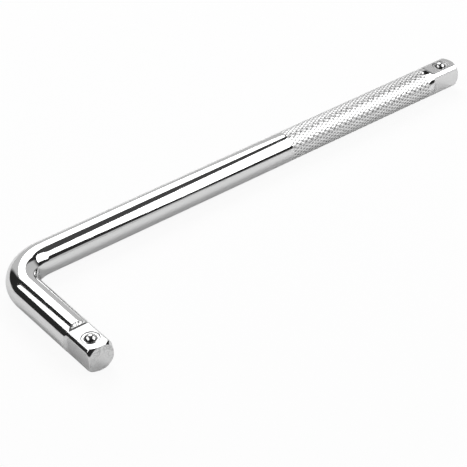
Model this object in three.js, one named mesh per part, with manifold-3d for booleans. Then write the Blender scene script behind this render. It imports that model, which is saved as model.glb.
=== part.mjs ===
// L-handle wrench: a round bar bent to a right angle, lying flat, with a square drive at each end.
// A sprung ball in each square keeps a socket on it, and a diamond knurl grips the outer half of the
// long arm. Millimetres, +Z up, +X along the long arm; the origin is the middle of the outline on the table.
import * as THREE from 'three';
import { mergeVertices } from 'three/addons/utils/BufferGeometryUtils.js';
import Module from 'manifold-3d';

const wasm = await Module();
wasm.setup();

// Bar
const BAR_DIAMETER = 15.875;
const LONG_REACH = 289; // from the outside of the short arm to the long arm's end
const SHORT_REACH = 84.5; // from the outside of the long arm to the short arm's end
const BEND_RADIUS = 19; // to the bar's centre line
const BEND_STEPS = 14;

// Square drives, the same at both ends
const DRIVE_SIZE = 12.7; // across the flats
const DRIVE_LENGTH = 17; // from the end face to the foot of the ramp
const RAMP_RADIUS = 8; // of the cutter that leaves the ramp behind each flat
const RAMP_FOOT_ANGLE = 33; // degrees between flat and ramp
const RAMP_STEPS = 4;
const NOSE_LENGTH = 1.5; // turned bevel round the end face, along the bar
const NOSE_DROP = 1.5; // and across it

// Knurl
const KNURL_LENGTH = 96.3;
const KNURL_COLLAR = 2.66; // plain bar between the knurl and the ramp
const KNURL_PITCH = 1.814; // square across the grooves
const KNURL_ANGLE = 29; // degrees between a groove and the bar
const KNURL_DEPTH = 0.15;

// Ball detents
const BALL_DIAMETER = 6.35;
const BALL_FROM_END = 7.6;
const BALL_CLEARANCE = 0.15; // round the ball in its pocket
const BALL_SEAT_GAP = 0.1; // between the ball and the lip that holds it
const LIP_HOLD = 0.1; // how far the lip reaches over the ball's widest girth
const LIP_UNDERCUT = 0.5; // height of the cone under the lip
const STAKE_WIDTH = 1.33; // ring pressed round the lip
const STAKE_DEPTH = 0.35;
const POCKET_FLOOR = 2; // metal left between the drill's point and the far flat
const DRILL_POINT = 118; // degrees
const POCKET_SIDES = 32;
const BALL_SIDES = 24;

// Detent springs
const WIRE_DIAMETER = 0.6;
const SPRING_PITCH = 1.15;
const SPRING_CLEARANCE = 0.7; // between the coil and the pocket's wall
const SPRING_SEAT_GAP = 0.3; // from the wire to the ball and to the drilled floor
const CURL_STEPS = 12;
const WIRE_SIDES = 6;

// How far a cutter reaches past what it cuts, and how near to each other two corners are one
const OVERCUT = 1;
const WELD = 1e-5;

// Values that follow from the sizes above
const barRadius = BAR_DIAMETER / 2;
const longEnd = LONG_REACH - barRadius; // from the corner where the two centre lines would meet
const shortEnd = SHORT_REACH - barRadius;
const flatHeight = DRIVE_SIZE / 2;

const rampFoot = THREE.MathUtils.degToRad(RAMP_FOOT_ANGLE);
const rampAxisHeight = flatHeight + RAMP_RADIUS * Math.cos(rampFoot);
const rampAxisPlace = DRIVE_LENGTH - RAMP_RADIUS * Math.sin(rampFoot);
const rampAngleAt = (height) => Math.acos((rampAxisHeight - height) / RAMP_RADIUS);
const rampEnd = rampAxisPlace + RAMP_RADIUS * Math.sin(rampAngleAt(barRadius));

const knurlAngle = THREE.MathUtils.degToRad(KNURL_ANGLE);
const knurlCount = Math.round(Math.PI * BAR_DIAMETER * Math.cos(knurlAngle) / KNURL_PITCH);
const barSides = 2 * knurlCount; // a crest or a groove crossing at every side
const diamondWidth = Math.PI * BAR_DIAMETER / knurlCount;
const diamondLength = diamondWidth / Math.tan(knurlAngle);
const knurlRows = Math.round(KNURL_LENGTH / (diamondLength / 2));
const knurlEnd = longEnd - rampEnd - KNURL_COLLAR;
const knurlStart = knurlEnd - KNURL_LENGTH;

const ballRadius = BALL_DIAMETER / 2;
const pocketRadius = ballRadius + BALL_CLEARANCE;
const lipRadius = ballRadius - LIP_HOLD;
const stakeRadius = lipRadius + STAKE_WIDTH;
const lipHeight = flatHeight - STAKE_DEPTH;
const ballHeight = lipHeight - Math.sqrt((ballRadius + BALL_SEAT_GAP) ** 2 - lipRadius ** 2);

const floorSlope = 1 / Math.tan(THREE.MathUtils.degToRad(DRILL_POINT / 2));
const drillPointHeight = POCKET_FLOOR - flatHeight;
const floorHeight = (radius) => drillPointHeight + radius * floorSlope;
const wireRadius = WIRE_DIAMETER / 2;
const coilRadius = pocketRadius - SPRING_CLEARANCE - wireRadius;
const wireToSeat = wireRadius + SPRING_SEAT_GAP;
const springTop = ballHeight - Math.sqrt((ballRadius + wireToSeat) ** 2 - coilRadius ** 2);
const springFoot = floorHeight(coilRadius) + wireToSeat * Math.hypot(1, floorSlope);
const springCurls = (springTop - springFoot) / SPRING_PITCH;
const springSteps = Math.ceil(springCurls * CURL_STEPS);

// Makes a closed solid of a geometry, with its shared corners merged and its empty triangles dropped.
function solid(geometry) {
  const bare = geometry.clone();
  bare.deleteAttribute('normal');
  bare.deleteAttribute('uv');
  const merged = mergeVertices(bare, WELD);
  const triVerts = [];
  for (let i = 0; i < merged.index.count; i += 3) {
    const corners = [0, 1, 2].map((k) => merged.index.getX(i + k));
    if (new Set(corners).size === 3) triVerts.push(...corners);
  }
  return new wasm.Manifold(new wasm.Mesh({
    numProp: 3,
    vertProperties: new Float32Array(merged.attributes.position.array),
    triVerts: new Uint32Array(triVerts),
  }));
}

// Turns a solid back into a geometry with flat-shaded faces.
function geometryOf(body) {
  const mesh = body.getMesh();
  const indexed = new THREE.BufferGeometry();
  indexed.setAttribute('position', new THREE.BufferAttribute(mesh.vertProperties, 3));
  indexed.setIndex(new THREE.BufferAttribute(mesh.triVerts, 1));
  const geometry = indexed.toNonIndexed();
  geometry.computeVertexNormals();
  return geometry;
}

// One ring of the bar: a centre, the outward direction in the plane of the L, and a radius for each side.
function ring(centre, outward, radiusAt) {
  const radii = Array.from({ length: barSides }, (_, side) => radiusAt(side));
  const points = radii.map((radius, side) => {
    const angle = 2 * Math.PI * side / barSides;
    const up = new THREE.Vector3(0, 0, radius * Math.sin(angle));
    return centre.clone().addScaledVector(outward, radius * Math.cos(angle)).add(up);
  });
  return { centre, radii, points };
}

// The rings of the whole bar, from the short arm's end round the bend to the long arm's end.
function barRings() {
  const plain = () => barRadius;
  const nose = () => barRadius - NOSE_DROP;
  const outwardShort = new THREE.Vector3(-1, 0, 0);
  const outwardLong = new THREE.Vector3(0, 1, 0);
  const onShort = (y, radiusAt) => ring(new THREE.Vector3(0, y, 0), outwardShort, radiusAt);
  const onLong = (x, radiusAt) => ring(new THREE.Vector3(x, 0, 0), outwardLong, radiusAt);
  const rings = [onShort(-shortEnd, nose), onShort(NOSE_LENGTH - shortEnd, plain)];
  const bendCentre = new THREE.Vector3(BEND_RADIUS, -BEND_RADIUS, 0);
  for (let step = 0; step <= BEND_STEPS; step += 1) {
    const angle = Math.PI / 2 * step / BEND_STEPS;
    const outward = new THREE.Vector3(-Math.cos(angle), Math.sin(angle), 0);
    rings.push(ring(bendCentre.clone().addScaledVector(outward, BEND_RADIUS), outward, plain));
  }
  for (let row = 0; row <= knurlRows; row += 1) {
    const inside = row > 0 && row < knurlRows;
    const radiusAt = (side) => (inside && (side + row) % 2 === 0 ? barRadius - KNURL_DEPTH : barRadius);
    rings.push(onLong(knurlStart + KNURL_LENGTH * row / knurlRows, radiusAt));
  }
  rings.push(onLong(longEnd - NOSE_LENGTH, plain), onLong(longEnd, nose));
  return rings;
}

// Skins the rings. A cell is split between its two deeper corners, so that grooves run straight.
function loft(rings) {
  const sides = rings[0].points.length;
  const points = rings.flatMap((each) => each.points);
  const at = (row, side) => row * sides + side % sides;
  const faces = [];
  for (let row = 0; row + 1 < rings.length; row += 1) {
    for (let side = 0; side < sides; side += 1) {
      const next = (side + 1) % sides;
      const [a, b, c, d] = [at(row, side), at(row, next), at(row + 1, next), at(row + 1, side)];
      const acrossAC = rings[row].radii[side] + rings[row + 1].radii[next];
      const acrossBD = rings[row].radii[next] + rings[row + 1].radii[side];
      faces.push(...(acrossAC <= acrossBD ? [a, b, c, a, c, d] : [a, b, d, b, c, d]));
    }
  }
  const last = rings.length - 1;
  const startCentre = points.push(rings[0].centre) - 1;
  const endCentre = points.push(rings[last].centre) - 1;
  for (let side = 0; side < sides; side += 1) {
    faces.push(startCentre, at(0, side + 1), at(0, side));
    faces.push(endCentre, at(last, side), at(last, side + 1));
  }
  return new THREE.BufferGeometry().setFromPoints(points).setIndex(faces);
}

// A drive's own frame: X runs inward from the middle of its end face and Y points out through the ball.
function driveFrame(endPoint, inward) {
  const frame = new THREE.Group();
  const up = new THREE.Vector3(0, 0, 1);
  const across = new THREE.Vector3().crossVectors(inward, up);
  frame.position.copy(endPoint);
  frame.setRotationFromMatrix(new THREE.Matrix4().makeBasis(inward, up, across));
  frame.updateMatrix();
  return frame;
}

// What the milling cutter takes away over one flat, with a hollow ramp behind it up to the bar's skin.
function flatCutter(quarterTurns) {
  const top = barRadius + OVERCUT;
  const profile = new THREE.Shape();
  profile.moveTo(-OVERCUT, flatHeight);
  profile.lineTo(DRIVE_LENGTH, flatHeight);
  profile.absarc(
    rampAxisPlace, rampAxisHeight, RAMP_RADIUS,
    rampFoot - Math.PI / 2, rampAngleAt(top) - Math.PI / 2, false,
  );
  profile.lineTo(-OVERCUT, top);
  const width = BAR_DIAMETER + 2 * OVERCUT;
  const cutter = new THREE.ExtrudeGeometry(profile, {
    depth: width, steps: 1, curveSegments: RAMP_STEPS, bevelEnabled: false,
  });
  cutter.translate(0, 0, -width / 2);
  cutter.rotateX(quarterTurns * Math.PI / 2);
  return cutter;
}

// A ball's pocket: drill point, wall, the cone under the lip, and the ring staked round the lip.
function pocketCutter() {
  const profile = [
    [0, drillPointHeight],
    [pocketRadius, floorHeight(pocketRadius)],
    [pocketRadius, lipHeight - LIP_UNDERCUT],
    [lipRadius, lipHeight],
    [stakeRadius, lipHeight],
    [stakeRadius, flatHeight + OVERCUT],
    [0, flatHeight + OVERCUT],
  ].map(([radius, height]) => new THREE.Vector2(radius, height));
  const cutter = new THREE.LatheGeometry(profile, POCKET_SIDES);
  cutter.translate(BALL_FROM_END, 0, 0);
  return cutter;
}

// The bar with four flats and a ball pocket cut into each end.
function barGeometry(frames) {
  let bar = solid(loft(barRings()));
  for (const frame of frames) {
    const cutters = [0, 1, 2, 3].map(flatCutter).concat(pocketCutter());
    for (const cutter of cutters) {
      bar = bar.subtract(solid(cutter.applyMatrix4(frame.matrix)));
    }
  }
  return geometryOf(bar);
}

// The spring's wire follows a helix up the pocket's axis.
class SpringCurve extends THREE.Curve {
  getPoint(share, target = new THREE.Vector3()) {
    const angle = 2 * Math.PI * springCurls * share;
    const height = springFoot + (springTop - springFoot) * share;
    return target.set(coilRadius * Math.cos(angle), height, coilRadius * Math.sin(angle));
  }
}

function springGeometry() {
  const wire = new THREE.Shape();
  for (let side = 0; side < WIRE_SIDES; side += 1) {
    const angle = 2 * Math.PI * side / WIRE_SIDES;
    const corner = [wireRadius * Math.cos(angle), wireRadius * Math.sin(angle)];
    if (side === 0) wire.moveTo(...corner);
    else wire.lineTo(...corner);
  }
  return new THREE.ExtrudeGeometry(wire, {
    steps: springSteps, extrudePath: new SpringCurve(), bevelEnabled: false,
  });
}

// The least gap between one curl's wire and the next, measured on points half a curl or more apart.
function springGap() {
  const pointsPerStep = 4;
  const points = new SpringCurve().getPoints(pointsPerStep * springSteps);
  const apart = pointsPerStep * CURL_STEPS / 2;
  let least = Infinity;
  points.forEach((point, i) => {
    for (let j = i + apart; j < points.length; j += 1) {
      least = Math.min(least, point.distanceTo(points[j]));
    }
  });
  return least - WIRE_DIAMETER;
}

const metal = (color, roughness) => new THREE.MeshStandardMaterial({ color, metalness: 1, roughness });

function namedMesh(name, geometry, material) {
  const mesh = new THREE.Mesh(geometry, material);
  mesh.name = name;
  return mesh;
}

// The ball and the spring of one drive, placed in that drive's frame.
function addDetent(frame, arm) {
  const ball = new THREE.SphereGeometry(ballRadius, BALL_SIDES, BALL_SIDES / 2);
  const ballMesh = namedMesh(`${arm}_detent_ball`, ball, metal(0xb4b6b8, 0.12));
  ballMesh.position.set(BALL_FROM_END, ballHeight, 0);
  const springMesh = namedMesh(`${arm}_detent_spring`, springGeometry(), metal(0x8c8e90, 0.35));
  springMesh.position.set(BALL_FROM_END, 0, 0);
  frame.add(ballMesh, springMesh);
}

const shortDrive = driveFrame(new THREE.Vector3(0, -shortEnd, 0), new THREE.Vector3(0, 1, 0));
const longDrive = driveFrame(new THREE.Vector3(longEnd, 0, 0), new THREE.Vector3(-1, 0, 0));
const handleBar = namedMesh('handle_bar', barGeometry([shortDrive, longDrive]), metal(0xd6d7d8, 0.08));
addDetent(shortDrive, 'short');
addDetent(longDrive, 'long');
console.log(`least gap between the curls of a spring: ${springGap().toFixed(2)} mm`);

const wrench = new THREE.Group();
wrench.add(handleBar, shortDrive, longDrive);
wrench.position.set((barRadius - longEnd) / 2, (shortEnd - barRadius) / 2, barRadius);

export default wrench;
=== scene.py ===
"""Looks of the l-handle wrench: its chromed bar with knurl and square drives, its detent balls and springs.

Metres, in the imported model's frame: +X along the long arm, +Z up, the table at Z = 0.
"""
import math

import bpy
import numpy as np
from mathutils import Matrix, Vector


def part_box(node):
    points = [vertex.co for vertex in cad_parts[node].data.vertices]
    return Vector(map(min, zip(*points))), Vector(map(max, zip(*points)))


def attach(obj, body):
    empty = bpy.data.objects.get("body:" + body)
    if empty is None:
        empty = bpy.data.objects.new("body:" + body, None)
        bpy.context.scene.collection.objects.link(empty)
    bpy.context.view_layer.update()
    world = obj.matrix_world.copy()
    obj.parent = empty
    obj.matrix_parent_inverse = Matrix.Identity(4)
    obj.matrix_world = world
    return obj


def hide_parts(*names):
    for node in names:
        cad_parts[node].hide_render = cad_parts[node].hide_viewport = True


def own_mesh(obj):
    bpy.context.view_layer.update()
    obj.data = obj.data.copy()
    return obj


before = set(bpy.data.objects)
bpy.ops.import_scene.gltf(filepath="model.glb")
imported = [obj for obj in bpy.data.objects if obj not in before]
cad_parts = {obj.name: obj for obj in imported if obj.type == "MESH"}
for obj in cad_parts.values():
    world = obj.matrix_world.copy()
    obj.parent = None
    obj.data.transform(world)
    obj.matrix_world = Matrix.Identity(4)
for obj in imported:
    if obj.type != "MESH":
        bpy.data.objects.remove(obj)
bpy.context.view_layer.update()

MM = 0.001

# Bar, as the solid has it
BAR_RADIUS = 7.9375 * MM
BEND_RADIUS = 19 * MM
BEND_ROWS = 40
STRAIGHT_ROWS = 20

# Square drives
FLAT_HEIGHT = 6.35 * MM  # from the bar's axis
DRIVE_LENGTH = 17 * MM
RAMP_RADIUS = 8 * MM
RAMP_FOOT = math.radians(33)
NOSE_LENGTH = 1.5 * MM
NOSE_DROP = 1.5 * MM
EDGE_WIDTH = 0.2 * MM  # band over which an edge is rounded
RAMP_EDGE = 0.5 * MM  # the same where a ramp meets the bar
FOOT_FILLET = 0.35 * MM  # and in the hollow where it meets its flat
FOOT_SHADE = 0.95 * MM  # reach of the painted shade, a dark line along that hollow
RIM_RADIUS = 0.12 * MM  # rounding of the end face's rim

# Knurl
KNURL_LENGTH = 96.3 * MM
KNURL_COLLAR = 2.66 * MM
KNURL_COUNT = 24
KNURL_HALF_ROWS = 51
KNURL_DEPTH = 0.15 * MM
KNURL_STEPS = 8  # grid steps from one groove to the next
KNURL_CREST = 0.1  # share of a tooth's width that is blunt
KNURL_HOLLOW = 1.0  # power by which a groove's sides are hollow
KNURL_RUN_OUT = 1.2 * MM  # over which the grooves fade at the knurl's ends

# Ball pockets
BALL_RADIUS = 3.175 * MM
BALL_FROM_END = 7.6 * MM
BALL_CROWN, BALL_GIRTH = math.radians(34), math.radians(56)  # from the top: polished above, painted shade below
POCKET_RADIUS = 3.325 * MM
LIP_RADIUS = 3.075 * MM
LIP_UNDERCUT = 0.5 * MM
STAKE_RADIUS = 4.405 * MM
STAKE_DEPTH = 0.35 * MM
DRILL_POINT_HEIGHT = -4.35 * MM
DRILL_SLOPE = 1 / math.tan(math.radians(59))
PATCH_HALF_WIDTH = 4.5 * MM  # of the part of a flat that is laid out round its pocket
PATCH_HALF_LENGTH = 4.7 * MM
PATCH_HALF_COLUMNS = 13

# Springs
WIRE_RADIUS = 0.3 * MM
COIL_RADIUS = 2.325 * MM
SPRING_CURLS = 3.61

# Values that follow
bar_low, bar_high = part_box("handle_bar")
corner = np.array([bar_low.x + BAR_RADIUS, bar_high.y - BAR_RADIUS, bar_low.z + BAR_RADIUS])
long_end = bar_high.x - corner[0]
short_end = corner[1] - bar_low.y
short_straight = short_end - BEND_RADIUS
bend_length = BEND_RADIUS * math.pi / 2
bar_length = short_straight + bend_length + long_end - BEND_RADIUS
ramp_axis_height = FLAT_HEIGHT + RAMP_RADIUS * math.cos(RAMP_FOOT)
ramp_axis_place = DRIVE_LENGTH - RAMP_RADIUS * math.sin(RAMP_FOOT)
ramp_end = ramp_axis_place + math.sqrt(RAMP_RADIUS**2 - (ramp_axis_height - BAR_RADIUS) ** 2)
knurl_end = bar_length - ramp_end - KNURL_COLLAR
knurl_start = knurl_end - KNURL_LENGTH
columns = KNURL_COUNT * KNURL_STEPS
flat_edge = math.acos(FLAT_HEIGHT / BAR_RADIUS)


def smooth_min(a, b, width):
    """The lesser of two lengths, less a quarter of the width where they meet, so that their edge is round."""
    near = np.clip(1 - np.abs(a - b) / width, 0, None)
    return np.minimum(a, b) - width * near**2 / 4


def edge_width(from_end):
    """How wide the edge of a flat is rounded: narrow along the drive, wider where the ramp runs out."""
    return EDGE_WIDTH + (RAMP_EDGE - EDGE_WIDTH) * np.clip((from_end - DRIVE_LENGTH) / FOOT_FILLET, 0, 1)


def skin_radius(from_end):
    """The turned bar's radius: a cone over the nose's length, then the bar."""
    nose = BAR_RADIUS - NOSE_DROP + from_end * NOSE_DROP / NOSE_LENGTH
    return smooth_min(nose, BAR_RADIUS, EDGE_WIDTH)


def flat_height(from_end):
    """A flat's height over the axis: level up to the ramp's foot, then the cutter's arc, with a fillet between."""
    along = np.clip(from_end - ramp_axis_place, 0, 0.999 * RAMP_RADIUS)
    ramp = ramp_axis_height - np.sqrt(RAMP_RADIUS**2 - along**2)
    return -smooth_min(-ramp, -FLAT_HEIGHT, FOOT_FILLET)


def groove_depth(along, column, row):
    """Depth of the knurl: two families of V grooves cross, and each point takes the deeper of the two.
    A groove's depth falls with the distance from it, fast at first, and ends short of the blunt crest. Returns the
    depth, how near both grooves are, and how far the knurl has set in from its ends."""
    runs = (column + row) / KNURL_STEPS, (column - row) / KNURL_STEPS
    gaps = [2 * np.abs(run - np.round(run)) for run in runs]
    depth = [np.clip(1 - gap / (1 - KNURL_CREST), 0, 1) ** KNURL_HOLLOW for gap in gaps]
    inside = np.minimum(along - knurl_start, knurl_end - along)
    fade = np.clip(inside / KNURL_RUN_OUT, 0, 1) + 0 * depth[0]
    return np.maximum(*depth) * fade, np.minimum(*depth) * fade, fade


def bar_path(along):
    """Centre, outward direction and heading at a length from the short end: straight, quarter circle, straight."""
    turn = np.clip((along - short_straight) / BEND_RADIUS, 0, math.pi / 2)
    zero = np.zeros_like(turn)
    outward = np.stack([-np.cos(turn), np.sin(turn), zero], -1)
    heading = np.stack([np.sin(turn), np.cos(turn), zero], -1)
    before = np.minimum(along - short_straight, 0)
    after = np.maximum(along - short_straight - bend_length, 0)
    centre = corner + BEND_RADIUS * (outward + np.array([1, -1, 0]))
    centre[:, 0] += after
    centre[:, 1] += before
    return centre, outward, heading


def drive_rows():
    """Distances from an end face at which a drive has rows, with the inset that rounds the rim.
    The rows are even within each stretch, close together at the edges and over the pocket."""
    turn = np.radians([0, 30, 60, 90])
    rim = RIM_RADIUS * (1 - np.cos(turn))
    inset = RIM_RADIUS * (1 - np.sin(turn))
    patch = BALL_FROM_END - PATCH_HALF_LENGTH, BALL_FROM_END + PATCH_HALF_LENGTH
    bevel = NOSE_LENGTH - 2 * EDGE_WIDTH, NOSE_LENGTH + 2 * EDGE_WIDTH
    foot = DRIVE_LENGTH - 2 * FOOT_FILLET, DRIVE_LENGTH + 2 * FOOT_FILLET
    stretches = [
        (*bevel, 6),
        (bevel[1], patch[0], 4),
        (*patch, 25),
        (patch[1], foot[0], 9),
        (*foot, 15),
        (foot[1], ramp_end + RAMP_EDGE, 16),
    ]
    nose = RIM_RADIUS + (bevel[0] - RIM_RADIUS) * np.linspace(0, 1, 9)[1:] ** 1.5
    parts = [nose] + [np.linspace(*stretch)[1:] for stretch in stretches]
    from_end = np.concatenate([rim, *parts])
    return from_end, np.concatenate([inset, np.zeros(len(from_end) - len(inset))])


def column_angles(from_end):
    """Angle of each column at each row, from the outward side of the L towards the top.
    Round the plain bar the columns are even. On a drive they crowd along the edges of the four flats, and over
    the nose they follow those edges inward; both layouts repeat and mirror every eighth of a turn."""
    lateral = np.concatenate([
        np.linspace(0, PATCH_HALF_WIDTH, PATCH_HALF_COLUMNS + 1),
        np.linspace(PATCH_HALF_WIDTH, FLAT_HEIGHT * math.tan(flat_edge), 5)[1:],
    ])
    on_flat = np.arctan(lateral / FLAT_HEIGHT) / flat_edge
    on_strip = np.array([0.06, 0.14, 0.26, 0.42, 0.6, 0.8, 1.0])
    edge = np.arccos(np.clip(FLAT_HEIGHT / skin_radius(from_end), 0, 1))[:, None]
    eighth = np.concatenate([edge * on_flat, edge + (math.pi / 4 - edge) * on_strip], 1)
    quarter = np.concatenate([eighth, math.pi / 2 - eighth[:, -2:0:-1]], 1)
    driven = np.concatenate([quarter + turn * math.pi / 2 for turn in range(4)], 1)
    even = 2 * math.pi * np.arange(columns) / columns
    share = np.clip((ramp_end + KNURL_COLLAR - from_end) / (KNURL_COLLAR - RAMP_EDGE), 0, 1)[:, None]
    return even + share * (driven - even)


class Skin:
    """Vertices, faces and vertex masks of one piece, collected patch by patch."""

    def __init__(self, *masks):
        self.points, self.uvs, self.faces, self.count = [], [], [], 0
        self.masks = {mask: [] for mask in masks}

    def add(self, points, uv, **masks):
        """Adds a grid of points and returns their numbers in the same layout."""
        flat = points.reshape(-1, 3)
        numbers = self.count + np.arange(len(flat)).reshape(points.shape[:-1])
        self.points.append(flat)
        self.uvs.append(np.broadcast_to(uv, (*points.shape[:-1], 2)).reshape(-1, 2))
        for mask, values in self.masks.items():
            values.append(np.broadcast_to(masks.get(mask, 0.0), points.shape[:-1]).ravel())
        self.count += len(flat)
        return numbers

    def join(self, numbers, closed=True, keep=None, turned=None):
        """Faces between neighbouring rows of numbers; closed also joins the last column to the first.
        keep leaves out cells, and cells with a turned value become triangles split one way or the other."""
        along = np.concatenate([numbers, numbers[:, :1]], 1) if closed else numbers
        cells = np.stack([along[:-1, :-1], along[:-1, 1:], along[1:, 1:], along[1:, :-1]], -1)
        keep = np.ones(cells.shape[:2], bool) if keep is None else keep
        turned = np.zeros(cells.shape[:2]) if turned is None else turned
        self.faces += cells[keep & (turned == 0)].tolist()
        for way, split in ((1, ([0, 1, 2], [0, 2, 3])), (-1, ([0, 1, 3], [1, 2, 3]))):
            for corners in split:
                self.faces += cells[keep & (turned == way)][:, corners].tolist()

    def fan(self, ring, pole, first):
        """Triangles from a ring to a pole; first says that the pole comes before the ring."""
        following = np.roll(ring, -1)
        poles = np.full_like(ring, pole)
        around = [poles, following, ring] if first else [ring, following, poles]
        self.faces += np.stack(around, -1).tolist()

    def make(self, name, material):
        """The finished object, at the origin, with smooth shading, its UV map and its masks."""
        mesh = bpy.data.meshes.new(name)
        mesh.from_pydata(np.concatenate(self.points).tolist(), [], self.faces)
        for mask, values in self.masks.items():
            attribute = mesh.attributes.new(mask, "FLOAT", "POINT")
            attribute.data.foreach_set("value", np.concatenate(values).astype(np.float32))
        corners = np.zeros(len(mesh.loops), np.int32)
        mesh.loops.foreach_get("vertex_index", corners)
        layer = mesh.uv_layers.new(name="Skin")
        layer.data.foreach_set("uv", np.concatenate(self.uvs)[corners].astype(np.float32).ravel())
        mesh.shade_smooth()
        mesh.materials.append(material)
        mesh.validate()
        piece = bpy.data.objects.new(name, mesh)
        bpy.context.scene.collection.objects.link(piece)
        return piece


def pocket_profile():
    """Radius and height of a ball's pocket from the flat inward: staked ring, lip, cone, drilled wall and point."""
    step = 0.06 * MM
    stake_floor = FLAT_HEIGHT - STAKE_DEPTH
    floor_edge = DRILL_POINT_HEIGHT + POCKET_RADIUS * DRILL_SLOPE
    wall = [(0.5, 0), (-0.5, -0.15), (-1.5, -0.6), (-2.6, -1.5), (-3.7, -2.8), (-4.8, -4.1), (-6, -5.1), (-7.6, -5.7)]
    lip = [(2.4, 0), (0.9, -0.1), (0.25, -0.45), (0, -1.1)]
    ring = [(STAKE_RADIUS + step * r, FLAT_HEIGHT + step * h) for r, h in wall]
    ring += [(LIP_RADIUS + step * r, stake_floor + step * h) for r, h in lip]
    ring += [(POCKET_RADIUS, stake_floor - LIP_UNDERCUT), (POCKET_RADIUS, 0.4 * FLAT_HEIGHT)]
    ring += [(POCKET_RADIUS, floor_edge), (0.5 * POCKET_RADIUS, 0.5 * (floor_edge + DRILL_POINT_HEIGHT))]
    return np.array(ring).T


def crowded(start, end):
    """Rows of a straight stretch: the heights of even steps round a half circle, close together at both ends, so
    that the shading of what follows there doesn't spread along the plain bar."""
    return start + (end - start) * (1 - np.cos(np.linspace(0, math.pi, STRAIGHT_ROWS))) / 2


def bar_stations():
    """Lengths along the bar, rim insets and end face shares of all rows, and the knurl's row number of each."""
    face = np.array([0.12, 0.3, 0.5, 0.7, 0.86, 0.96])
    from_end, inset = drive_rows()
    collar = ramp_end + RAMP_EDGE, ramp_end + KNURL_COLLAR
    plain = [
        np.linspace(*collar, 4)[1:],
        crowded(collar[1], short_straight)[1:],
        short_straight + bend_length * np.linspace(0, 1, BEND_ROWS)[1:],
        crowded(short_straight + bend_length, knurl_start)[1:-1],
    ]
    knurl_rows = KNURL_HALF_ROWS * KNURL_STEPS // 2
    knurl = np.linspace(knurl_start, knurl_end, knurl_rows + 1)
    last_collar = bar_length - np.linspace(*collar, 4)[-2:0:-1]
    along = np.concatenate([0 * face, from_end, *plain, knurl, last_collar, bar_length - from_end[::-1],
                            bar_length + 0 * face])
    count = len(along)
    insets, shares, numbers = np.zeros(count), np.ones(count), np.full(count, -1)
    insets[: len(face)] = insets[-len(face):] = RIM_RADIUS
    insets[len(face) : len(face) + len(inset)] = inset
    insets[count - len(face) - len(inset) : count - len(face)] = inset[::-1]
    shares[: len(face)], shares[-len(face):] = face, face[::-1]
    first_knurl = len(face) + len(from_end) + sum(map(len, plain))
    numbers[first_knurl : first_knurl + len(knurl)] = np.arange(len(knurl))
    return along, insets, shares, numbers


def chromed_bar(material):
    """The whole bar as one closed skin: a grid of rows along the bent centre line and columns round it, at the
    least radius of turned bar, flats and grooves, closed by its end faces and by the two pockets."""
    along, insets, shares, knurl_rows = bar_stations()
    from_end = np.minimum(along, bar_length - along)
    angle = column_angles(from_end)
    centre, outward, _ = bar_path(along)
    up = np.array([0.0, 0.0, 1.0])

    column = np.arange(columns)
    in_knurl = knurl_rows >= 0
    knurl = groove_depth(along[:, None], column, np.maximum(knurl_rows, 0)[:, None])
    groove, pit, knurled = (share * in_knurl[:, None] for share in knurl)
    skin = np.broadcast_to(skin_radius(from_end)[:, None], angle.shape)
    flat = flat_height(from_end)[:, None] / np.maximum(np.abs(np.cos(angle)), np.abs(np.sin(angle)))
    edge_band = edge_width(from_end)[:, None]
    radius = smooth_min(skin, flat, edge_band) - insets[:, None] - KNURL_DEPTH * groove
    radius = radius * shares[:, None]
    spoke = np.cos(angle)[..., None] * outward[:, None] + np.sin(angle)[..., None] * up
    points = centre[:, None] + radius[..., None] * spoke

    faced = (shares < 1)[:, None] | (insets > 0)[:, None]
    milled = np.clip(0.5 + (skin - flat) / EDGE_WIDTH, 0, 1)
    edge = np.clip(1 - np.abs(skin - flat) / (2 * EDGE_WIDTH), 0, 1) * (shares == 1)[:, None]
    # Painted shade along the hollow at each ramp's foot, weighted by upward: full on the bar's upper side, a quarter
    # of that on the others
    hollow = np.clip(1 - np.abs(from_end - DRIVE_LENGTH) / FOOT_SHADE, 0, 1)[:, None] * milled
    upward = np.clip(2 * np.sin(angle) - 0.8, 0.25, 1)
    hollow = hollow * upward
    # The ramp mask, for dashes of painted shade half way up the ramps, on the bar's upper side
    ramp = np.clip((from_end - DRIVE_LENGTH) / (ramp_end - DRIVE_LENGTH), 0, 1)[:, None] * milled * upward
    piece = Skin("milled", "faced", "groove", "pit", "knurled", "edge", "sunk", "hollow", "ramp")
    round_skin = np.stack([np.broadcast_to(along[:, None], angle.shape), angle * BAR_RADIUS], -1)
    end_face = radius[..., None] * np.stack([np.cos(angle), np.sin(angle)], -1)
    uv = np.where(faced[..., None], end_face, round_skin)
    masks = {"milled": milled, "faced": faced * 1.0, "groove": groove, "pit": pit, "knurled": knurled, "edge": edge,
             "hollow": hollow, "ramp": ramp}
    numbers = piece.add(points, uv, **masks)

    keep = np.ones((len(along) - 1, columns), bool)
    for end in ("short", "long"):
        cut_pocket(piece, points, numbers, keep, along, end)

    row, col = np.meshgrid(np.maximum(knurl_rows[:-1], 0), column, indexing="ij")
    gaps = [run - np.round(run) for run in ((col + row + 1) / KNURL_STEPS, (col - row) / KNURL_STEPS)]
    turned = np.where(np.abs(gaps[0]) < np.abs(gaps[1]), -1, 1)
    turned = turned * (in_knurl[:-1] & in_knurl[1:])[:, None]
    piece.join(numbers, keep=keep, turned=turned)
    for ring in (0, -1):
        pole = piece.add(centre[ring][None], np.zeros(2), faced=1.0)
        piece.fan(numbers[ring], pole[0], first=ring == 0)
    return piece.make("chromed_handle_bar", material)


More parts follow.
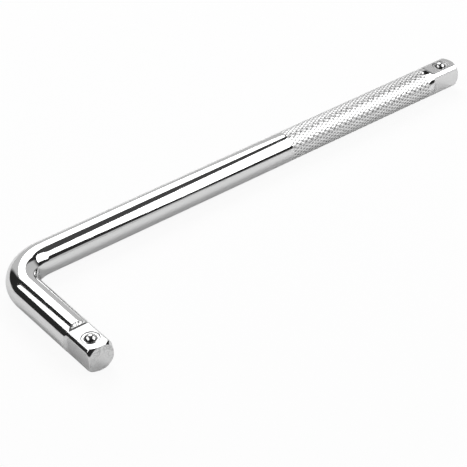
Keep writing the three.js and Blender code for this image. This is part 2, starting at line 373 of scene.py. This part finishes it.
def cut_pocket(piece, points, numbers, keep, along, end):
    """Leaves out a block of cells on a drive's upper flat and lays rings from the block's border down the pocket.
    Each border point keeps its bearing from the pocket's axis; the rings are the profile turned about that axis."""
    place = BALL_FROM_END if end == "short" else bar_length - BALL_FROM_END
    rows = [int(np.argmin(np.abs(along - place - step))) for step in (-PATCH_HALF_LENGTH, PATCH_HALF_LENGTH)]
    top, half = columns // 4, PATCH_HALF_COLUMNS
    low, high = top - half, top + half
    keep[rows[0] : rows[1], low:high] = False
    across, back = np.arange(low, high), np.arange(rows[0], rows[1])
    border_rows = np.concatenate([np.full(2 * half, rows[1]), back[::-1] + 1, np.full(2 * half, rows[0]), back])
    border_cols = np.concatenate([across[::-1] + 1, np.full(len(back), low), across, np.full(len(back), high)])
    centre, outward, heading = (value[0] for value in bar_path(np.array([place])))
    offset = points[border_rows, border_cols] - centre
    bearing = np.arctan2(offset @ outward, offset @ heading)
    radius, height = pocket_profile()
    spoke = np.cos(bearing)[:, None] * heading + np.sin(bearing)[:, None] * outward
    up = np.array([0.0, 0.0, 1.0])
    rings = centre + radius[:, None, None] * spoke + height[:, None, None] * up
    sunk = np.clip((FLAT_HEIGHT - height) / STAKE_DEPTH, 0, None)[:, None]
    flat_uv = np.stack([place + radius[:, None] * np.cos(bearing), radius[:, None] * np.sin(bearing)], -1)
    laid = piece.add(rings, flat_uv, milled=1.0, sunk=sunk)
    border = numbers[border_rows, border_cols]
    piece.join(np.concatenate([border[None], laid]))
    tip = piece.add((centre + DRILL_POINT_HEIGHT * up)[None], np.array([place, 0.0]), milled=1.0, sunk=sunk.max())
    piece.fan(laid[-1], tip[0], first=False)


def ball(name, node, material, rows=32, around=64):
    """A bearing ball: a half circle turned about the vertical through the middle of its node's box."""
    low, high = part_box(node)
    centre = np.array((low + high) / 2)
    polar = np.linspace(0, math.pi, rows + 1)[1:-1, None]
    turn = 2 * math.pi * np.arange(around) / around
    way = np.stack([np.sin(polar) * np.cos(turn), -np.sin(polar) * np.sin(turn), np.cos(polar) + 0 * turn], -1)
    piece = Skin("girth")
    uv = np.stack([np.broadcast_to(turn, way.shape[:2]), np.broadcast_to(polar, way.shape[:2])], -1)
    # The girth mask rises from the crown downward, where the ball's finish paints shade
    girth = np.clip((polar - BALL_CROWN) / (BALL_GIRTH - BALL_CROWN), 0, 1)
    numbers = piece.add(centre + BALL_RADIUS * way, uv * BALL_RADIUS, girth=girth)
    piece.join(numbers)
    for ring, sign in ((0, 1), (-1, -1)):
        pole = piece.add((centre + [0, 0, sign * BALL_RADIUS])[None], np.zeros(2), girth=(1 - sign) / 2)
        piece.fan(numbers[ring], pole[0], first=ring == 0)
    return piece.make(name, material)


def spring(name, node, material, steps=120, sides=14):
    """A coil spring: a circle of the wire's radius carried up a helix between the heights of its node's box,
    drawn in to a rounded tip at each end of the wire."""
    low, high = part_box(node)
    axis = np.array(((low.x + high.x) / 2, (low.y + high.y) / 2, 0))
    foot, head = low.z + WIRE_RADIUS, high.z - WIRE_RADIUS
    tip = np.array([0.0, 0.3, 0.7, 1.0])
    share = np.linspace(0, 1, steps + 1)
    width = np.ones_like(share)
    run = 2 * math.pi * COIL_RADIUS * SPRING_CURLS
    tip_share = WIRE_RADIUS * (tip - 1) / run
    share = np.concatenate([tip_share[:-1], share, 1 - tip_share[-2::-1]])
    width = np.concatenate([np.sqrt(1 - (tip[:-1] - 1) ** 2), width, np.sqrt(1 - (tip[-2::-1] - 1) ** 2)])
    turn = 2 * math.pi * SPRING_CURLS * share
    radial = np.stack([np.cos(turn), np.sin(turn), 0 * turn], -1)
    rise = (head - foot) * share
    line = axis + COIL_RADIUS * radial + np.stack([0 * rise, 0 * rise, foot + rise], -1)
    pitch = math.atan2((head - foot), run)
    lean = np.stack([math.sin(pitch) * np.sin(turn), -math.sin(pitch) * np.cos(turn), math.cos(pitch) + 0 * turn], -1)
    round_wire = 2 * math.pi * np.arange(sides) / sides
    spoke = np.cos(round_wire)[:, None] * radial[:, None] - np.sin(round_wire)[:, None] * lean[:, None]
    points = line[:, None] + WIRE_RADIUS * width[:, None, None] * spoke
    piece = Skin()
    uv = np.stack(np.broadcast_arrays(run * share[:, None], WIRE_RADIUS * round_wire), -1)
    numbers = piece.add(points[1:-1], uv[1:-1])
    piece.join(numbers)
    for ring, place in ((0, line[0]), (-1, line[-1])):
        pole = piece.add(place[None], np.zeros(2))
        piece.fan(numbers[ring], pole[0], first=ring == 0)
    return piece.make(name, material)


class Value:
    """A number that changes over a surface: a socket whose arithmetic adds Math nodes."""

    def __init__(self, shader, socket):
        self.shader, self.socket = shader, socket

    def __add__(self, other):
        return self.shader.maths("ADD", self, other)

    def __radd__(self, other):
        return self.shader.maths("ADD", other, self)

    def __sub__(self, other):
        return self.shader.maths("SUBTRACT", self, other)

    def __rsub__(self, other):
        return self.shader.maths("SUBTRACT", other, self)

    def __mul__(self, other):
        return self.shader.maths("MULTIPLY", self, other)

    def __rmul__(self, other):
        return self.shader.maths("MULTIPLY", other, self)

    def __pow__(self, other):
        return self.shader.maths("POWER", self, other)

    def at_most(self, other):
        return self.shader.maths("MINIMUM", self, other)

    def at_least(self, other):
        return self.shader.maths("MAXIMUM", self, other)

    def size(self):
        return self.shader.maths("ABSOLUTE", self)

    def step(self, low, high):
        """0 below low, 1 above high and smooth between; low above high turns it round."""
        settings = {"interpolation_type": "SMOOTHSTEP"}
        sockets = {"Value": self, "From Min": low, "From Max": high}
        return Value(self.shader, self.shader.node("ShaderNodeMapRange", settings, sockets).outputs["Result"])


class Shader:
    """The node tree of a material or of the world."""

    def __init__(self, owner):
        owner.use_nodes = True
        self.tree = owner.node_tree
        self.tree.nodes.clear()

    def node(self, kind, settings=None, sockets=None):
        """Adds a node of a type, sets its settings, then gives its sockets their values or links."""
        made = self.tree.nodes.new(kind)
        for name, setting in (settings or {}).items():
            setattr(made, name, setting)
        for name, value in (sockets or {}).items():
            if isinstance(value, Value):
                self.tree.links.new(value.socket, made.inputs[name])
            elif isinstance(value, bpy.types.NodeSocket):
                self.tree.links.new(value, made.inputs[name])
            else:
                made.inputs[name].default_value = value
        return made

    def maths(self, operation, *values):
        made = self.node("ShaderNodeMath", {"operation": operation}, dict(enumerate(values)))
        return Value(self, made.outputs[0])

    def mask(self, name):
        """A vertex mask of the piece."""
        made = self.node("ShaderNodeAttribute", {"attribute_name": name})
        return Value(self, made.outputs["Fac"])

    def light_path(self, name):
        return Value(self, self.node("ShaderNodeLightPath").outputs[name])

    def place(self, kind="Object", scale=(1, 1, 1), turn=0.0):
        """Coordinates of a kind, turned about the third axis and then scaled."""
        made = self.node("ShaderNodeTexCoord").outputs[kind]
        turned = self.node("ShaderNodeMapping", {}, {"Vector": made, "Rotation": (0, 0, turn)})
        return self.node("ShaderNodeMapping", {}, {"Vector": turned.outputs[0], "Scale": scale}).outputs[0]

    def noise(self, place, scale, detail=2.0):
        sockets = {"Vector": place, "Scale": scale, "Detail": detail}
        return Value(self, self.node("ShaderNodeTexNoise", {}, sockets).outputs["Fac"])

    def cells(self, place, scale):
        """Distance to the nearest of points strewn one to a cell."""
        made = self.node("ShaderNodeTexVoronoi", {}, {"Vector": place, "Scale": scale})
        return Value(self, made.outputs["Distance"])

    def mix(self, share, first, second):
        """A colour between two colours."""
        sockets = {"Factor": share, 6: first, 7: second}
        return self.node("ShaderNodeMix", {"data_type": "RGBA"}, sockets).outputs[2]

    def bump(self, height, distance, normal=None):
        """The normal of a surface raised by a height of 0 to 1 times a distance, on top of another normal."""
        sockets = {"Height": height, "Distance": distance}
        if normal is not None:
            sockets["Normal"] = normal
        return self.node("ShaderNodeBump", {}, sockets).outputs["Normal"]

    def surface(self, shader_socket, target="ShaderNodeOutputMaterial"):
        self.node(target, {}, {"Surface": shader_socket})


def grey(level):
    return (level, level, level, 1.0)


# Finish of the bar: what each state of the chrome gives back of the light, and the relief of its skin
CHROME_BRIGHT, CHROME_DULL = 0.76, 0.68
KNURL_BRIGHT = 0.84
WORN_LEVEL = 0.42
# Colour of dirt and painted shade in the knurl, and of painted shade in the pockets, staked rings and on the ramps
GRIME_AND_SHADE_LEVEL = 0.10
WAVE_HEIGHT = 0.01 * MM
PEBBLE_HEIGHT = 0.02 * MM
SCRATCH_DEPTH = 0.0012 * MM
SCRATCHES = (  # turn, how often they start and stop along and across, and the level that only a few pass
    (0.06, 40, 6000, 0.64),
    (0.9, 60, 5000, 0.68),
    (-0.7, 70, 5200, 0.69),
)
FACING_CURLS = (  # scale of the noise, the level whose line is a curl, and the curl's outer and inner half width
    (300, 0.5, 0.06, 0.015),
    (520, 0.45, 0.05, 0.012),
)
RAMP_DASH_SPREAD = 500, 1700, 1  # how often the dashes of painted shade on the ramps, in a cutter-stroke pattern, change along and across

# Finish of the balls and springs
# The last level is the colour of the painted shade on the ball's lower part
BALL_BRIGHT, BALL_DULL, BALL_SHADE = 0.70, 0.52, 0.45
BALL_RELIEF = 0.006 * MM
WIRE_BRIGHT, WIRE_OILY = 0.50, 0.24
WIRE_RELIEF = 0.01 * MM


def scratches(shader, turn, length_scale, width_scale, few):
    """Fine lines one way along the skin: noise drawn out many times longer than wide, cut off near its top."""
    drawn = shader.place("UV", (length_scale, width_scale, 1), turn)
    return shader.noise(drawn, 1.0, 1.0).step(few, few + 0.05)


def facing_curls(shader, place, cloud):
    """Curled marks of the facing cut on the end faces: the lines along which a slow noise passes a level."""
    first, second = (
        (shader.noise(place, scale, 1.0) - level).size().step(outer, inner)
        for scale, level, outer, inner in FACING_CURLS
    )
    return first.at_least(second) * shader.mask("faced") * cloud.step(0.35, 0.6)


def chrome_grime_and_shade(shader, mottle):
    """How dark the chrome is made, from 0 to 1: dirt and painted shade in the knurl's grooves and most in its pits,
    painted shade inside the ball pockets, on the wall of their staked rings and along the ramps' feet, and dashes of
    painted shade half way up the upper ramps."""
    groove, pit, sunk, hollow, ramp = (
        shader.mask(name) for name in ("groove", "pit", "sunk", "hollow", "ramp")
    )
    # Dirt and painted shade in the knurl's grooves, most in the pits where the grooves cross
    knurl = groove.step(0.7, 1.0) * 0.15 * mottle + pit.step(0.2, 0.6) * (0.48 + 0.3 * mottle)
    # Painted shade inside the ball pockets, below the staked ring's floor
    pocket = sunk.step(1.02, 1.6)
    # Painted shade on the wall of each staked ring, a dark line round the ball
    wall = 0.85 * (sunk.step(0.03, 0.2) * sunk.step(1.0, 0.94))
    # Painted shade along the ramps' feet, mostly on the upper side
    foot = 0.9 * hollow.step(0.2, 0.7)
    # Dashes of painted shade in a cutter-stroke pattern, half way up the upper ramps
    strokes = shader.noise(shader.place("UV", RAMP_DASH_SPREAD), 1.0, 1.0).step(0.47, 0.54)
    ramp_dash_shade = strokes * ramp.step(0.25, 0.4) * ramp.step(0.95, 0.8)
    return knurl.at_least(pocket).at_least(foot).at_least(wall).at_least(0.95 * ramp_dash_shade)


def chrome_finish():
    """Bright chrome: polished and faintly wavy on the round bar, satin on milled flats and faced ends, with fine
    scratches, a little plating mottle, dirt and painted shade in the knurl, and painted shade round the balls and
    ramps."""
    material = bpy.data.materials.new("bright_chrome")
    shader = Shader(material)
    place = shader.place("Object")
    knurled, edge = shader.mask("knurled"), shader.mask("edge")
    satin = shader.mask("milled").at_least(shader.mask("faced"))
    mottle = shader.noise(place, 420, 3.0)
    cloud = shader.noise(place, 90, 2.0)
    along, one_way, other_way = (scratches(shader, *way) for way in SCRATCHES)
    lines = along.at_least(one_way).at_least(other_way)
    specks = shader.cells(place, 900).step(0.1, 0.04) * cloud.step(0.5, 0.65)
    curls = facing_curls(shader, place, cloud)
    grime_and_shade = chrome_grime_and_shade(shader, mottle)

    bright = shader.mix(0.25 * cloud + 0.35 * mottle * satin, grey(CHROME_BRIGHT), grey(CHROME_DULL))
    bright = shader.mix(knurled, bright, grey(KNURL_BRIGHT))
    marks = 0.25 * specks + 0.12 * lines + 0.1 * edge + 0.7 * curls
    worn = shader.mix(marks.at_most(1.0), bright, grey(WORN_LEVEL))
    # Dirt and painted shade darken the chrome: in the knurl, the pockets, the staked rings and on the ramps
    colour = shader.mix(grime_and_shade.at_most(1.0), worn, grey(GRIME_AND_SHADE_LEVEL))

    rough = 0.045 + 0.03 * cloud + 0.04 * lines + 0.05 * specks
    rough = rough + satin * (0.09 + 0.08 * mottle) + 0.29 * knurled + 0.1 * grime_and_shade + 0.22 * edge

    skin = shader.bump(shader.noise(place, 140, 1.0), WAVE_HEIGHT)
    skin = shader.bump(shader.noise(place, 900, 2.0) * satin, PEBBLE_HEIGHT, skin)
    skin = shader.bump(1 - lines, SCRATCH_DEPTH, skin)
    principled = shader.node("ShaderNodeBsdfPrincipled", {}, {
        "Base Color": colour, "Metallic": 1.0, "Roughness": rough, "Normal": skin,
    })
    shader.surface(principled.outputs[0])
    return material


def ball_finish():
    """Hardened steel ball: nearly a mirror where sockets rub its crown, with painted shade further down, and a few
    fine marks."""
    material = bpy.data.materials.new("polished_ball_steel")
    shader = Shader(material)
    place = shader.place("Object")
    cloud = shader.noise(place, 700, 3.0)
    marks = shader.noise(shader.place("Object", (300, 4000, 900), 0.5), 1.0, 1.0).step(0.66, 0.72)
    crown = shader.mix(0.5 * cloud + 0.3 * marks, grey(BALL_BRIGHT), grey(BALL_DULL))
    # Painted shade on the ball's lower part, by the girth mask
    colour = shader.mix(shader.mask("girth") * (0.7 + 0.3 * cloud), crown, grey(BALL_SHADE))
    skin = shader.bump(cloud, BALL_RELIEF)
    principled = shader.node("ShaderNodeBsdfPrincipled", {}, {
        "Base Color": colour, "Metallic": 1.0, "Roughness": 0.09 + 0.05 * cloud + 0.06 * marks, "Normal": skin,
    })
    shader.surface(principled.outputs[0])
    return material


def wire_finish():
    """Drawn spring wire: dull steel with lines along the wire and a film of oil."""
    material = bpy.data.materials.new("drawn_spring_wire")
    shader = Shader(material)
    drawn = shader.noise(shader.place("UV", (300, 9000, 1)), 1.0, 2.0)
    film = shader.noise(shader.place("Object"), 500, 2.0)
    colour = shader.mix(0.6 * film + 0.3 * drawn, grey(WIRE_BRIGHT), grey(WIRE_OILY))
    principled = shader.node("ShaderNodeBsdfPrincipled", {}, {
        "Base Color": colour, "Metallic": 1.0, "Roughness": 0.28 + 0.2 * film,
        "Normal": shader.bump(drawn, WIRE_RELIEF),
    })
    shader.surface(principled.outputs[0])
    return material


# Studio
FLOOR_REACH = 4.0
FLOOR_COLOUR = 0.86
FLOOR_GLOW = 0.92  # share of plain white in what the camera sees of the floor near the object
FLOOR_NEAR, FLOOR_FAR = 0.25, 0.9  # distances between which the rest turns plain white
ROOM_DARK = 0.025  # of the room that only reflections show
ROOM_OVERHEAD = 0.045  # added high up, between the lamps
SWEEP_LEVEL = 0.62  # of the pale sweep behind the tool and of the floor out to the horizon
AMBIENT = 0.05  # of the room as a light
SOFT_BOXES = {  # azimuth from +Y towards +X, elevation, roll, distance, width, height and radiance
    "right_box": (127.5, 41.3, -3, 1.28, 1.15, 0.91, 2.2),
    "back_box": (25.5, 49.3, -35.7, 1.58, 0.97, 1.136, 2.0),
    "left_box": (-70, 43.7, 0, 1.3, 1.52, 0.71, 1.4),
    "floor_fill": (25.5, 49.3, -35.7, 1.6, 0.97, 1.136, 1.6),
}
UNMIRRORED = "floor_fill"  # lights the floor and shows in no reflection


def floor_finish():
    """Pale floor: to the camera mostly plain white, to all else a matt surface that takes the shadow."""
    material = bpy.data.materials.new("pale_floor")
    shader = Shader(material)
    matt = shader.node("ShaderNodeBsdfDiffuse", {}, {"Color": grey(FLOOR_COLOUR)})
    white = shader.node("ShaderNodeEmission", {}, {"Color": grey(1.0), "Strength": 1.0})
    parts = shader.node("ShaderNodeSeparateXYZ", {}, {0: shader.place("Object")}).outputs
    x, y = Value(shader, parts[0]), Value(shader, parts[1])
    far = ((x * x + y * y) ** 0.5).step(FLOOR_NEAR, FLOOR_FAR)
    seen = shader.light_path("Is Camera Ray") * (FLOOR_GLOW + (1 - FLOOR_GLOW) * far)
    mixed = shader.node("ShaderNodeMixShader", {}, {0: seen, 1: matt.outputs[0], 2: white.outputs[0]})
    shader.surface(mixed.outputs[0])
    return material


def studio():
    """A pale floor, three soft boxes round the object and a room that is white to the camera."""
    mesh = bpy.data.meshes.new("floor")
    reach = FLOOR_REACH * np.array([[-1, -1, 0], [1, -1, 0], [1, 1, 0], [-1, 1, 0]])
    mesh.from_pydata(reach.tolist(), [], [(0, 1, 2, 3)])
    mesh.materials.append(floor_finish())
    floor = bpy.data.objects.new("floor", mesh)
    bpy.context.scene.collection.objects.link(floor)

    for name, (azimuth, elevation, roll, distance, width, height, radiance) in SOFT_BOXES.items():
        a, e, turn = (math.radians(angle) for angle in (azimuth, elevation, roll))
        way = Vector((math.sin(a) * math.cos(e), math.cos(a) * math.cos(e), math.sin(e)))
        level = way.cross(Vector((0, 0, 1))).normalized()
        across = math.cos(turn) * level + math.sin(turn) * level.cross(way)
        lamp = bpy.data.lights.new(name, "AREA")
        lamp.shape = "RECTANGLE"
        lamp.size, lamp.size_y = width, height
        lamp.energy = 4 * radiance * width * height
        box = bpy.data.objects.new(name, lamp)
        axes = Matrix((across, way.cross(across), way)).transposed().to_4x4()
        axes.translation = distance * way
        box.matrix_world = axes
        box.visible_glossy = name != UNMIRRORED
        bpy.context.scene.collection.objects.link(box)

    world = bpy.data.worlds.new("studio_room")
    bpy.context.scene.world = world
    shader = Shader(world)
    way = shader.node("ShaderNodeTexCoord").outputs["Generated"]
    parts = shader.node("ShaderNodeSeparateXYZ", {}, {0: way}).outputs
    x, y, z = (Value(shader, part) for part in parts)
    # The sweep stands behind the tool, up to a height and to the right of its edge
    behind = (0.52 * x + 0.85 * y).step(0.35, 0.6) * z.step(0.62, 0.55) * (x + 0.05 * y).step(-0.06, 0.06)
    # The pale floor goes on to the horizon, which a table edge lifts on the camera's side
    lift = 0.01 + 0.05 * (0 - y).step(0.2, 0.8) + 0.11 * (0 - y).step(0.85, 0.9)
    horizon = (z - lift).step(0.03, -0.03)
    room = ROOM_DARK + ROOM_OVERHEAD * z.step(0.78, 0.88)
    room = room + (SWEEP_LEVEL - ROOM_DARK) * behind.at_least(horizon)
    camera, glossy = shader.light_path("Is Camera Ray"), shader.light_path("Is Glossy Ray")
    level = camera + (1 - camera) * (glossy * room + (1 - glossy) * AMBIENT)
    background = shader.node("ShaderNodeBackground", {}, {"Color": grey(1.0), "Strength": level})
    shader.surface(background.outputs[0], "ShaderNodeOutputWorld")


# Camera, from the photograph's perspective
PICTURE_SIZE = 467
FOCAL_PIXELS = 1563
VIEW_AZIMUTH, VIEW_ELEVATION, VIEW_ROLL = -36.93, 36.05, 2.0
CORNER_IN_VIEW = (-6.51, 1.17, 45.02)  # right, down and away from the camera, in bar diameters


def camera():
    """Looks down the photograph's line of sight, with the bar's corner where the picture has it."""
    a, e, roll = (math.radians(value) for value in (VIEW_AZIMUTH, VIEW_ELEVATION, VIEW_ROLL))
    back = Vector((math.sin(a) * math.cos(e), -math.cos(a) * math.cos(e), math.sin(e)))
    level = (-back).cross(Vector((0, 0, 1))).normalized()
    down = (-back).cross(level)
    right = math.cos(roll) * level + math.sin(roll) * down
    down = math.cos(roll) * down - math.sin(roll) * level
    x, y, z = (2 * BAR_RADIUS * value for value in CORNER_IN_VIEW)
    data = bpy.data.cameras.new("camera")
    data.sensor_width = 36.0
    data.lens = data.sensor_width * FOCAL_PIXELS / PICTURE_SIZE
    view = bpy.data.objects.new("camera", data)
    axes = Matrix((right, -down, back)).transposed().to_4x4()
    axes.translation = Vector(corner) - right * x - down * y + back * z
    view.matrix_world = axes
    bpy.context.scene.collection.objects.link(view)
    bpy.context.scene.camera = view


chrome, ball_steel, wire_steel = chrome_finish(), ball_finish(), wire_finish()
bar = chromed_bar(chrome)
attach(bar, "handle")
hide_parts("handle_bar")

for arm in ("short", "long"):
    node = f"{arm}_detent_ball"
    piece = ball(f"{arm}_ball_polished", node, ball_steel)
    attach(piece, f"{arm}_ball")
    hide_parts(node)

    node = f"{arm}_detent_spring"
    piece = spring(f"{arm}_spring_coil", node, wire_steel)
    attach(piece, "handle")
    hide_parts(node)
    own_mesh(piece)

studio()
camera()
bpy.context.scene.view_settings.view_transform = "Standard"
